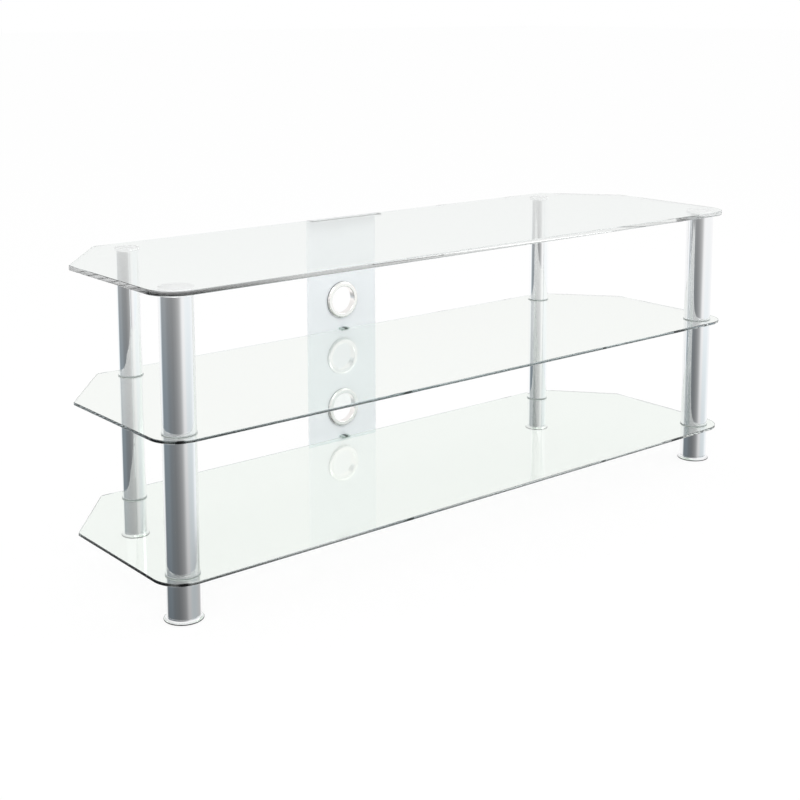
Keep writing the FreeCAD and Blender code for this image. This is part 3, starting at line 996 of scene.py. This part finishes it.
def collar_profile(tube_radius, foot_radius, low, high, bore, sizes):
    """Closed section of a collar: a straight land, a flare that is an arc tangent to the tube,
    a rolled rim, and the recess for the pad below the web."""
    rim, crown = sizes.rim_radius, sizes.crown
    rim_centre = (foot_radius - rim, low + rim)
    land_end = high - sizes.land
    run, drop = rim_centre[0] - tube_radius, land_end - (rim_centre[1] + rim)
    flare = (run * run + drop * drop) / (2 * run)
    sweep = math.degrees(math.asin(min(1.0, drop / flare)))
    recess = foot_radius - sizes.rim_width
    web_bottom = high - sizes.web
    return joined(
        [(recess, low)], arc(rim_centre, rim, -90, 90, 14),
        arc((tube_radius + flare, land_end), flare, 180 + sweep, 180, 14)[1:],
        arc((tube_radius - crown, high - crown), crown, 0, 90, 4),
        [(bore, high), (bore, web_bottom), (recess, web_bottom)])


def pad_profile(radius, bottom, top, sizes):
    """Section of a pad: flat below with shallow round grooves, then a rounded edge."""
    rounding, count = sizes.pad_round, sizes.groove_count
    flat = np.linspace(0, radius - rounding - sizes.pad_margin, GROOVE_ROWS * max(1, count) + 1)
    phase = flat / flat[-1] * count
    groove = sizes.groove_depth * np.clip(np.cos(FULL_TURN * (phase - 0.5)), 0, 1) ** 0.5
    lower = np.column_stack([flat, bottom + groove])
    return joined(lower, arc((radius - rounding, bottom + rounding), rounding, -90, 0, 5),
                  [(radius, top), (0, top)])


class STAND_OT_feet(bpy.types.Operator):
    """Make the collars, pads and threaded stems of the levelling feet"""

    bl_idname = "stand.feet"
    bl_label = "Levelling feet"

    def execute(self, context):
        sizes, legs = context.scene.stand_feet, context.scene.stand_legs
        for side in SIDES:
            self.collar(side, sizes, legs)
            self.pad(side, sizes)
            self.stem(side, sizes, legs)
        return {"FINISHED"}

    def collar(self, side, sizes, legs):
        """One chromed collar, with a dark band of pad rubber round the foot of its rim: painted
        contact shadow.
        """
        node = side + "_foot_collar"
        low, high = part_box(node)
        _, size = centre_and_size(node)
        _, tube_size = centre_and_size(side + "_lower_tube")
        profile = collar_profile(tube_size.x / 2, size.x / 2, low.z, high.z,
                                 legs.stem_radius + BOND_GAP, sizes)
        materials = [chrome("foot_chrome"), moulded("pad_rubber")]
        piece = turned_piece(side + "_flared_collar", profile, True, materials, node)
        height = face_values(piece.data, "center")[:, 2]
        share_out(piece.data, height < low.z + sizes.rim_shade_height)

    def pad(self, side, sizes):
        """One rubber pad."""
        node = side + "_foot_pad"
        low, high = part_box(node)
        _, size = centre_and_size(node)
        profile = pad_profile(size.x / 2, low.z, high.z - BOND_GAP, sizes)
        turned_piece(side + "_grooved_pad", profile, False, [moulded("pad_rubber")], node)

    def stem(self, side, sizes, legs):
        """One threaded stem on its flat head."""
        node = side + "_foot_stem"
        low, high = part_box(node)
        _, size = centre_and_size(node)
        _, web_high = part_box(side + "_foot_collar")
        head_low, head_top = low.z + BOND_GAP, web_high.z - sizes.web - BOND_GAP
        head = turned([(0, head_low), (size.x / 2, head_low), (size.x / 2, head_top),
                       (0, head_top)], HEAD_STEPS, False)
        rod = thread(legs.stem_radius, legs.stem_pitch, head_top + BOND_GAP, high.z,
                     legs.stem_chamfer, STEM_STEPS)
        on_axis(side + "_threaded_stem", together([head, rod]), [plated_steel()], node)


class STAND_OT_panel(bpy.types.Operator):
    """Make the folded cable panel"""

    bl_idname = "stand.panel"
    bl_label = "Cable panel"

    def execute(self, context):
        sizes = context.scene.stand_panel
        low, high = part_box("rear_panel")
        bend_start = high.z - sizes.bend_radius - sizes.sheet
        seam = bend_start - sizes.seam_drop
        corners = [(low.x, low.z, sizes.corner_radius), (high.x, low.z, sizes.corner_radius),
                   (high.x, seam, 0.0), (low.x, seam, 0.0)]
        levels = [(0.0, 0.0), (sizes.sheet, 0.0)]
        shapes = [outline_walls(rounded_corners(corners, PANEL_CORNER_STEPS), levels)]
        holes = [(level + "_cable_grommet", sizes.ring_hole) for level in RING_LEVELS]
        holes += [(clip + "_shelf_clip", sizes.screw_hole) for clip in CLIP_LEVELS]
        for node, across in holes:
            middle, _ = centre_and_size(node)
            shapes.append(hole_walls(middle.x, middle.z, across / 2, levels,
                                     PANEL_HOLE_STEPS))
        mesh = filled_plate("folded_panel", shapes)
        self.fold(mesh, low, high, bend_start, seam, sizes)
        piece = finished(mesh, [silver_paint()], "rear_panel")
        soften_edges(piece, "edge_break", sizes.edge_break, PANEL_EDGE_ANGLE)
        return {"FINISHED"}

    def fold(self, mesh, low, high, bend_start, seam, sizes):
        """Turns the flat sheet upright and adds the bend and the flange above the seam: the
        section runs up the sheet, round two concentric quarter circles, and forward under the
        pane. The wall that closed the flat sheet at the seam is taken out."""
        front = high.y - sizes.sheet
        points = np.empty(len(mesh.vertices) * 3)
        mesh.vertices.foreach_get("co", points)
        flat = points.reshape(-1, 3)
        upright = np.column_stack([flat[:, 0], front + flat[:, 2], flat[:, 1]])
        mesh.vertices.foreach_set("co", upright.ravel())
        centre = (front - sizes.bend_radius, bend_start)
        outer = arc(centre, sizes.bend_radius + sizes.sheet, 0, 90, 12)
        inner = arc(centre, sizes.bend_radius, 90, 0, 12)
        flange_end = [(low.y, high.z), (low.y, high.z - sizes.sheet)]
        section = propped(joined([(high.y, seam)], outer, flange_end, inner, [(front, seam)]),
                          False)
        places = (low.x, low.x + PROP_REACH, high.x - PROP_REACH, high.x)
        count = len(section)
        index = np.arange(count // 2 - 1)
        end = np.stack([index, index + 1, count - 2 - index, count - 1 - index], -1)
        faces = [grid_faces(len(places), count), end, end + (len(places) - 1) * count]
        flange = mesh_of("flange", (swept(section, places), np.concatenate(faces)))
        work = bmesh.new()
        work.from_mesh(mesh)
        shut = [face for face in work.faces
                if all(abs(vertex.co.z - seam) < SAME_HEIGHT for vertex in face.verts)]
        bmesh.ops.delete(work, geom=shut, context="FACES")
        work.from_mesh(flange)
        work.to_mesh(mesh)
        work.free()
        bpy.data.meshes.remove(flange)


def laid_over(shape, x, y, z, way):
    """A shape drawn about Z with its axis laid along Y: its top points to the front where the
    way is 1, and to the rear where it is -1."""
    points, faces = shape
    return np.column_stack([x + points[:, 0], y - way * points[:, 2],
                            z + way * points[:, 1]]), faces


def ring_profile(outer, depth, rear, sizes):
    """Closed section of a cable ring, as (radius, distance in front of the panel): a rim with
    two round edges, a barrel through the sheet, and a snap bead behind it."""
    bore, edge, inner_edge = sizes.ring_bore / 2, sizes.ring_round, sizes.bore_round
    barrel = sizes.ring_hole / 2 - sizes.ring_play
    bead = sizes.ring_hole / 2 + sizes.ring_bead
    foot, soft = sizes.ring_foot_round, sizes.ring_rear_round
    return joined(
        [(barrel, BOND_GAP)],
        arc((outer - foot, BOND_GAP + foot), foot, -90, 0, 4),
        arc((outer - edge, depth - edge), edge, 0, 90, 14),
        arc((bore + inner_edge, depth - inner_edge), inner_edge, 90, 180, 10),
        arc((bore + soft, rear + soft), soft, 180, 270, 6),
        arc((barrel - soft, rear + soft), soft, 270, 360, 6),
        [(barrel, -sizes.sheet - sizes.bead_length), (bead, -sizes.sheet - BOND_GAP),
         (barrel, -sizes.sheet - BOND_GAP)])


class STAND_OT_rings(bpy.types.Operator):
    """Make the two chromed cable rings"""

    bl_idname = "stand.rings"
    bl_label = "Cable rings"

    def execute(self, context):
        sizes = context.scene.stand_panel
        _, panel_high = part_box("rear_panel")
        front = panel_high.y - sizes.sheet
        for level in RING_LEVELS:
            node = level + "_cable_grommet"
            low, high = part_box(node)
            middle, size = centre_and_size(node)
            profile = ring_profile(size.x / 2, front - low.y, front - high.y, sizes)
            shape = laid_over(turned(profile, RING_STEPS, True), middle.x, front, middle.z,
                              1)
            # The dark plug plastic paints shade on a low band of the rim
            piece = finished(mesh_of(level + "_cable_ring", shape),
                             [chrome("ring_chrome"), moulded("plug_plastic")], node)
            self.mark_painted_shade(piece.data, middle, size.x / 2, front, sizes)
        return {"FINISHED"}

    def mark_painted_shade(self, mesh, middle, outer, front, sizes):
        """Gives a low band on the outside of the rim the second, dark material: painted shade
        where the rim meets the panel.
        """
        x, y, z = face_values(mesh, "center").T
        ahead, reach = front - y, np.hypot(x - middle.x, z - middle.z)
        share_out(mesh, (ahead > 0) & (ahead < sizes.ring_shade_band)
                  & (reach > outer - sizes.ring_round / 2))


def clip_section(low, high, pane_low, pane_high, sizes):
    """Section of a clip as (y, z): a block with a slot for the pane, its front edges round."""
    rounding, rear = sizes.clip_round, high.y - BOND_GAP
    slot_low, slot_high, slot_end = pane_low - BOND_GAP, pane_high + BOND_GAP, sizes.clip_reach
    return joined([(rear, high.z)],
                  arc((low.y + rounding, high.z - rounding), rounding, 90, 180, 6),
                  [(low.y, slot_high), (low.y + slot_end, slot_high),
                   (low.y + slot_end, slot_low), (low.y, slot_low)],
                  arc((low.y + rounding, low.z + rounding), rounding, 180, 270, 6),
                  [(rear, low.z)])


class STAND_OT_clips(bpy.types.Operator):
    """Make the two clips that hold the panel to the panes"""

    bl_idname = "stand.clips"
    bl_label = "Shelf clips"

    def execute(self, context):
        sizes = context.scene.stand_panel
        for clip in CLIP_LEVELS:
            node = clip + "_shelf_clip"
            low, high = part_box(node)
            pane_low, pane_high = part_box(clip + "_glass")
            section = clip_section(low, high, pane_low.z, pane_high.z, sizes)
            count = len(section)
            faces = grid_faces(2, count, False, True).tolist()
            faces += [list(range(count)), list(range(2 * count - 1, count - 1, -1))]
            mesh = mesh_of(clip + "_pane_clip", (swept(section, (low.x, high.x)), faces))
            piece = finished(mesh, [moulded("clip_plastic"), lip_plastic()], node)
            share_out(mesh, face_values(mesh, "center")[:, 2] > pane_high.z)
            soften_edges(piece, "moulded_edge", sizes.clip_edge, CLIP_EDGE_ANGLE)
        return {"FINISHED"}


# A screw's cross recess: half the width of a line, the width of its slope, where the lines end
# and the length of that end, as shares of the head's radius, and its depth as a share of the
# head's height
CROSS_HALF, CROSS_SLOPE, CROSS_REACH, CROSS_END, CROSS_DEPTH = 0.16, 0.06, 0.62, 0.2, 0.55


def screw_head(radius, height, steps=48, rows=22):
    """A domed head with a cross recess. At radius r and angle a the dome is a sphere's cap. The
    recess takes its depth where the nearer of the two cross lines passes within its half width,
    falls off towards the rim, and is deepest at the middle."""
    angle = circle(steps)
    reach = np.linspace(0, radius, rows + 1)[:, None]
    ball = (radius * radius + height * height) / (2 * height)
    dome = np.sqrt(ball * ball - reach * reach) - (ball - height)
    x, y = reach * np.cos(angle), reach * np.sin(angle)
    line = np.minimum(np.abs(x), np.abs(y))
    inside = np.clip((CROSS_HALF * radius - line) / (CROSS_SLOPE * radius), 0, 1)
    fade = np.clip((CROSS_REACH * radius - reach) / (CROSS_END * radius), 0, 1)
    points = np.stack([x, y, dome - CROSS_DEPTH * height * inside * fade], -1)
    base = np.zeros((1, steps, 3))
    return (np.concatenate([points, base]).reshape(-1, 3),
            grid_faces(rows + 2, steps, False, True))


class STAND_OT_screws(bpy.types.Operator):
    """Make the screws that hold the panel to the clips"""

    bl_idname = "stand.screws"
    bl_label = "Clip screws"

    def execute(self, context):
        sizes = context.scene.stand_panel
        _, panel_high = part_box("rear_panel")
        low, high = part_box("clip_screws")
        _, size = centre_and_size("clip_screws")
        head = screw_head(size.x / 2, high.y - panel_high.y - BOND_GAP)
        shank = thread(sizes.screw_radius, sizes.screw_pitch, low.y - panel_high.y, -BOND_GAP,
                       sizes.screw_chamfer, SCREW_STEPS)
        screw = together([moved(head, 0, 0, BOND_GAP), shank])
        shapes = []
        for clip in CLIP_LEVELS:
            centre, _ = centre_and_size(clip + "_shelf_clip")
            shapes.append(laid_over(screw, centre.x, panel_high.y, centre.z, -1))
        finished(mesh_of("panel_screws", together(shapes)), [plated_steel()], "clip_screws")
        return {"FINISHED"}


class STAND_OT_strip(bpy.types.Operator):
    """Make the bonding strip between the panel's flange and the top pane"""

    bl_idname = "stand.strip"
    bl_label = "Bonding strip"

    def execute(self, context):
        wide = context.scene.stand_panel.strip_width
        low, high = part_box("panel_bond_strip")
        outline = np.array([(low.x, high.y), (low.x, low.y), (high.x, low.y), (high.x, high.y),
                            (high.x - wide, high.y), (high.x - wide, low.y + wide),
                            (low.x + wide, low.y + wide), (low.x + wide, high.y)])
        points, faces = walls([(low.z + BOND_GAP, outline), (high.z + BOND_BITE, outline)])
        turn = np.array([[0, 1, 6, 7], [1, 2, 5, 6], [2, 3, 4, 5]])
        faces = np.concatenate([faces, turn, turn + len(outline)])
        finished(mesh_of("bonding_strip", (points, faces)), [moulded("strip_foam")],
                 "panel_bond_strip", False)
        return {"FINISHED"}


class STAND_OT_plugs(bpy.types.Operator):
    """Finish the plugs in the tubes, which keep their frame shapes"""

    bl_idname = "stand.plugs"
    bl_label = "Tube plugs"

    def execute(self, context):
        for side in SIDES:
            mesh = frame["nodes"][side + "_tube_plugs"].data
            mesh.materials.clear()
            mesh.materials.append(moulded("plug_plastic"))
        return {"FINISHED"}


# What chrome and glass mirror, as levels at angles in degrees. Azimuths are counted from the
# front towards the left, tilts from the horizon up.
# How much of the bright side shows over the dim side, and of the back over both, by azimuth
FRONT_SHARE = (
    (-180, 1.0), (-8, 1.0), (2, 0.90), (9, 0.64), (17, 0.38), (25, 0.24), (41, 0.09), (60, 0.0),
    (88, 0.02), (106, 0.12), (180, 0.16))
BACK_SHARE = (
    (-180, 1.0), (-80, 1.0), (-62, 0.25), (-42, 0.08), (-24, 0.0), (133, 0.0), (149, 1.0),
    (180, 1.0))
# Where the back is held off: low down, and to the right
LOW_SHARE = ((-90, 1.0), (-22.5, 1.0), (-21, 0.35), (-19.3, 0.0))
RIGHT_SHARE = ((-130, 0.0), (-100, 1.0), (-30, 1.0), (0, 0.0))
# Light of each side by tilt
DIM_SIDE = (
    (-90, 0.08), (-23, 0.138), (-18.7, 0.170), (-13, 0.208), (-8.7, 0.245), (-5, 0.29),
    (0, 0.42), (4, 0.75), (10, 0.98), (90, 1.0))
BRIGHT_SIDE = (
    (-90, 0.30), (-23, 0.48), (-18.7, 0.63), (-16.2, 0.71), (-13, 0.82), (-11, 0.89),
    (-8.7, 0.95), (0, 0.99), (90, 1.0))
BACK_SIDE = (
    (-90, 0.95), (-20, 0.97), (-1, 1.0), (4, 0.92), (12, 0.87), (17, 0.87), (22, 0.84),
    (35, 0.86), (60, 0.92), (90, 0.95))
# The hue by azimuth, and how far it has faded to white by tilt
ROOM_TINT = (
    (-180, 1.0), (-100, 1.0), (-81, (0.96, 0.99, 1.0)), (-44, (0.90, 0.97, 1.0)),
    (-22, (0.92, 0.98, 1.0)), (-8, 1.0), (38, (0.96, 0.985, 1.0)), (66, (0.90, 0.96, 1.0)),
    (92, (0.82, 0.925, 1.0)), (112, (0.77, 0.90, 1.0)), (138, (0.76, 0.90, 1.0)),
    (150, (0.95, 0.985, 1.0)), (165, 1.0), (180, 1.0))
HUE_FADE = ((-90, 0.0), (-11, 0.0), (-3, 1.0), (90, 1.0))
# The back's limits lean: they shift with the tilt past a share of the way up, by this much
LEAN_START, LEAN = 0.46, 0.4
# Share of the floor that shows plain white instead of its own light and shadow
FLOOR_WHITE = 0.9
# Rows and columns of the room's dome
ROOM_ROWS, ROOM_COLUMNS = 49, 96
# The lamps' names, places and shares of the power, their size, and the point that they face
LAMPS = (("key_lamp", (-1.6, -2.4, 3.0), 1.0), ("side_lamp", (2.6, -1.2, 2.4), 0.5))
LAMP_WIDTH, LAMP_HEIGHT = 2.4, 2.0
LAMP_AIM = Vector((0, 0, 0.25))
# The camera's film width in millimetres, and its nearest and farthest sight
FILM_WIDTH = 36.0
NEAREST, FARTHEST = 0.05, 200.0
# How often light may bounce, and how often it may pass clear surfaces
MOST_BOUNCES, MOST_CLEAR = 64, 16


def surroundings(tree, place):
    """What chrome and glass mirror, as a colour for each place on the room's dome. One ramp over
    the tilt gives the dim side, one the bright side and one the back, and two ramps over the
    azimuth blend them."""
    direction = tree.add("ShaderNodeVectorMath", {0: place}, operation="NORMALIZE")
    x, y, z = tree.axes(direction.outputs[0])
    azimuth = tree.sum("ARCTAN2", tree.sum("MULTIPLY", x, -1.0), tree.sum("MULTIPLY", y, -1.0))
    turn = tree.sum("ADD", tree.sum("DIVIDE", azimuth, FULL_TURN), 0.5)
    tilt = tree.sum("ADD", tree.sum("DIVIDE", tree.sum("ARCSINE", z), math.pi), 0.5)
    lean = tree.sum("MULTIPLY", tree.sum("SUBTRACT", tilt, LEAN_START), LEAN)

    def by_turn(stops, at=turn):
        return tree.ramp(at, [(degrees / 360 + 0.5, level) for degrees, level in stops])

    def by_tilt(stops):
        return tree.ramp(tilt, [(degrees / 180 + 0.5, level) for degrees, level in stops])

    hue = tree.mix(by_tilt(HUE_FADE), by_turn(ROOM_TINT), (1, 1, 1, 1))
    held = tree.sum("MULTIPLY", by_tilt(LOW_SHARE), by_turn(RIGHT_SHARE))
    back = tree.sum("MULTIPLY", by_turn(BACK_SHARE, tree.sum("ADD", turn, lean)),
                    tree.sum("SUBTRACT", 1.0, held))
    sides = tree.mix(by_turn(FRONT_SHARE), by_tilt(DIM_SIDE), by_tilt(BRIGHT_SIDE))
    return tree.tinted(tree.mix(back, sides, by_tilt(BACK_SIDE)), hue)


class STAND_OT_stage(bpy.types.Operator):
    """Make the floor, the light and the camera"""

    bl_idname = "stand.stage"
    bl_label = "Stage"

    def execute(self, context):
        settings = context.scene.stand_stage
        self.world(context.scene, settings)
        self.room(context.scene, settings)
        self.floor(context.scene, settings)
        self.lamps(context.scene, settings)
        self.camera(context.scene, settings)
        context.scene.view_settings.view_transform = "Standard"
        cycles = context.scene.cycles
        cycles.max_bounces = MOST_BOUNCES
        cycles.transmission_bounces = MOST_BOUNCES
        cycles.glossy_bounces = MOST_BOUNCES
        cycles.transparent_max_bounces = MOST_CLEAR
        return {"FINISHED"}

    def world(self, scene, settings):
        """White for what looks straight out, and an even light."""
        scene.world = bpy.data.worlds.new("soft_room")
        tree = Tree(scene.world)
        white = tree.sum("MULTIPLY", tree.looked_at(), 1 - settings.room_light)
        plain = tree.add("ShaderNodeBackground", {
            "Color": (1, 1, 1, 1), "Strength": tree.sum("ADD", white, settings.room_light)})
        tree.output(plain.outputs[0], "ShaderNodeOutputWorld")

    def room(self, scene, settings):
        """A wide sphere round the stand that only mirrors show."""
        angle = np.radians(np.linspace(-90, 90, ROOM_ROWS))
        profile = settings.room_reach * np.column_stack([np.cos(angle), np.sin(angle)])
        mesh = mesh_of("mirrored_room", turned(profile, ROOM_COLUMNS, False))
        material, tree = new_material("mirrored_room")
        place = tree.add("ShaderNodeTexCoord").outputs["Object"]
        shown = tree.glow(surroundings(tree, place))
        tree.output(tree.either(tree.mirrored(), tree.clear(), shown))
        material.cycles.emission_sampling = "NONE"
        mesh.materials.append(material)
        room = bpy.data.objects.new("mirrored_room", mesh)
        room.visible_camera = room.visible_diffuse = room.visible_shadow = False
        room.visible_volume_scatter = False
        scene.collection.objects.link(room)

    def floor(self, scene, settings):
        """A wide pale floor. It shows white with the object's shadow, and mirrors look past it."""
        reach = settings.floor_reach
        corners = [(-reach, -reach, 0), (reach, -reach, 0), (reach, reach, 0),
                   (-reach, reach, 0)]
        mesh = mesh_of("pale_floor", (corners, [(0, 1, 2, 3)]))
        material, tree = new_material("pale_floor")
        colour = (*settings.floor_colour, 1.0)
        lit = tree.add("ShaderNodeBsdfDiffuse", {"Color": colour}).outputs[0]
        plain = tree.sum("MULTIPLY", tree.looked_at(), FLOOR_WHITE)
        shown = tree.either(plain, lit, tree.glow())
        tree.output(tree.either(tree.mirrored(), shown, tree.clear()))
        mesh.materials.append(material)
        floor = bpy.data.objects.new("pale_floor", mesh)
        scene.collection.objects.link(floor)

    def lamps(self, scene, settings):
        """Two large soft lamps, one high at the front left and a weaker one at the right."""
        for name, place, share in LAMPS:
            light = bpy.data.lights.new(name, "AREA")
            light.shape, light.size, light.size_y = "RECTANGLE", LAMP_WIDTH, LAMP_HEIGHT
            light.energy = settings.lamp_power * share
            lamp = bpy.data.objects.new(name, light)
            lamp.location = place
            aim = LAMP_AIM - lamp.location
            lamp.rotation_euler = aim.to_track_quat("-Z", "Y").to_euler()
            lamp.visible_glossy = False
            scene.collection.objects.link(lamp)

    def camera(self, scene, settings):
        """The photograph's viewpoint."""
        data = bpy.data.cameras.new("photo_camera")
        data.lens, data.sensor_width = settings.lens, FILM_WIDTH
        data.shift_x, data.shift_y = settings.camera_shift
        data.clip_start, data.clip_end = NEAREST, FARTHEST
        camera = bpy.data.objects.new("photo_camera", data)
        camera.location = settings.camera_place
        yaw, pitch = settings.camera_yaw, settings.camera_pitch
        ahead = Vector((math.sin(yaw) * math.cos(pitch), math.cos(yaw) * math.cos(pitch),
                        -math.sin(pitch)))
        camera.rotation_euler = ahead.to_track_quat("-Z", "Y").to_euler()
        scene.collection.objects.link(camera)
        scene.camera = camera


class STAND_PT_panel(bpy.types.Panel):
    """Lists the stand's pieces in the sidebar"""

    bl_idname = "STAND_PT_panel"
    bl_label = "Glass tier stand"
    bl_space_type = "VIEW_3D"
    bl_region_type = "UI"
    bl_category = "Stand"

    def draw(self, context):
        for operator in OPERATORS:
            self.layout.operator(operator.bl_idname)
        for name, group in GROUPS.items():
            box = self.layout.box()
            for entry in group.__annotations__:
                box.prop(getattr(context.scene, name), entry)


GROUPS = {
    "stand_panes": PaneSizes,
    "stand_legs": LegSizes,
    "stand_feet": FootSizes,
    "stand_panel": PanelSizes,
    "stand_finishes": Finishes,
    "stand_stage": StageSettings,
}
OPERATORS = (
    STAND_OT_panes, STAND_OT_tubes, STAND_OT_washers, STAND_OT_studs, STAND_OT_discs,
    STAND_OT_feet, STAND_OT_panel, STAND_OT_rings, STAND_OT_clips, STAND_OT_screws,
    STAND_OT_strip, STAND_OT_plugs, STAND_OT_stage,
)


def register():
    """Registers the groups, the operators and the panel."""
    for name, group in GROUPS.items():
        bpy.utils.register_class(group)
        setattr(bpy.types.Scene, name, PointerProperty(type=group))
    for operator in OPERATORS:
        bpy.utils.register_class(operator)
    bpy.utils.register_class(STAND_PT_panel)


def unregister():
    """Takes everything back out."""
    bpy.utils.unregister_class(STAND_PT_panel)
    for operator in reversed(OPERATORS):
        bpy.utils.unregister_class(operator)
    for name, group in GROUPS.items():
        delattr(bpy.types.Scene, name)
        bpy.utils.unregister_class(group)


def main():
    """Builds the stand piece by piece."""
    register()
    for operator in OPERATORS:
        family, name = operator.bl_idname.split(".")
        getattr(getattr(bpy.ops, family), name)()


if __name__ == "__main__":
    main()
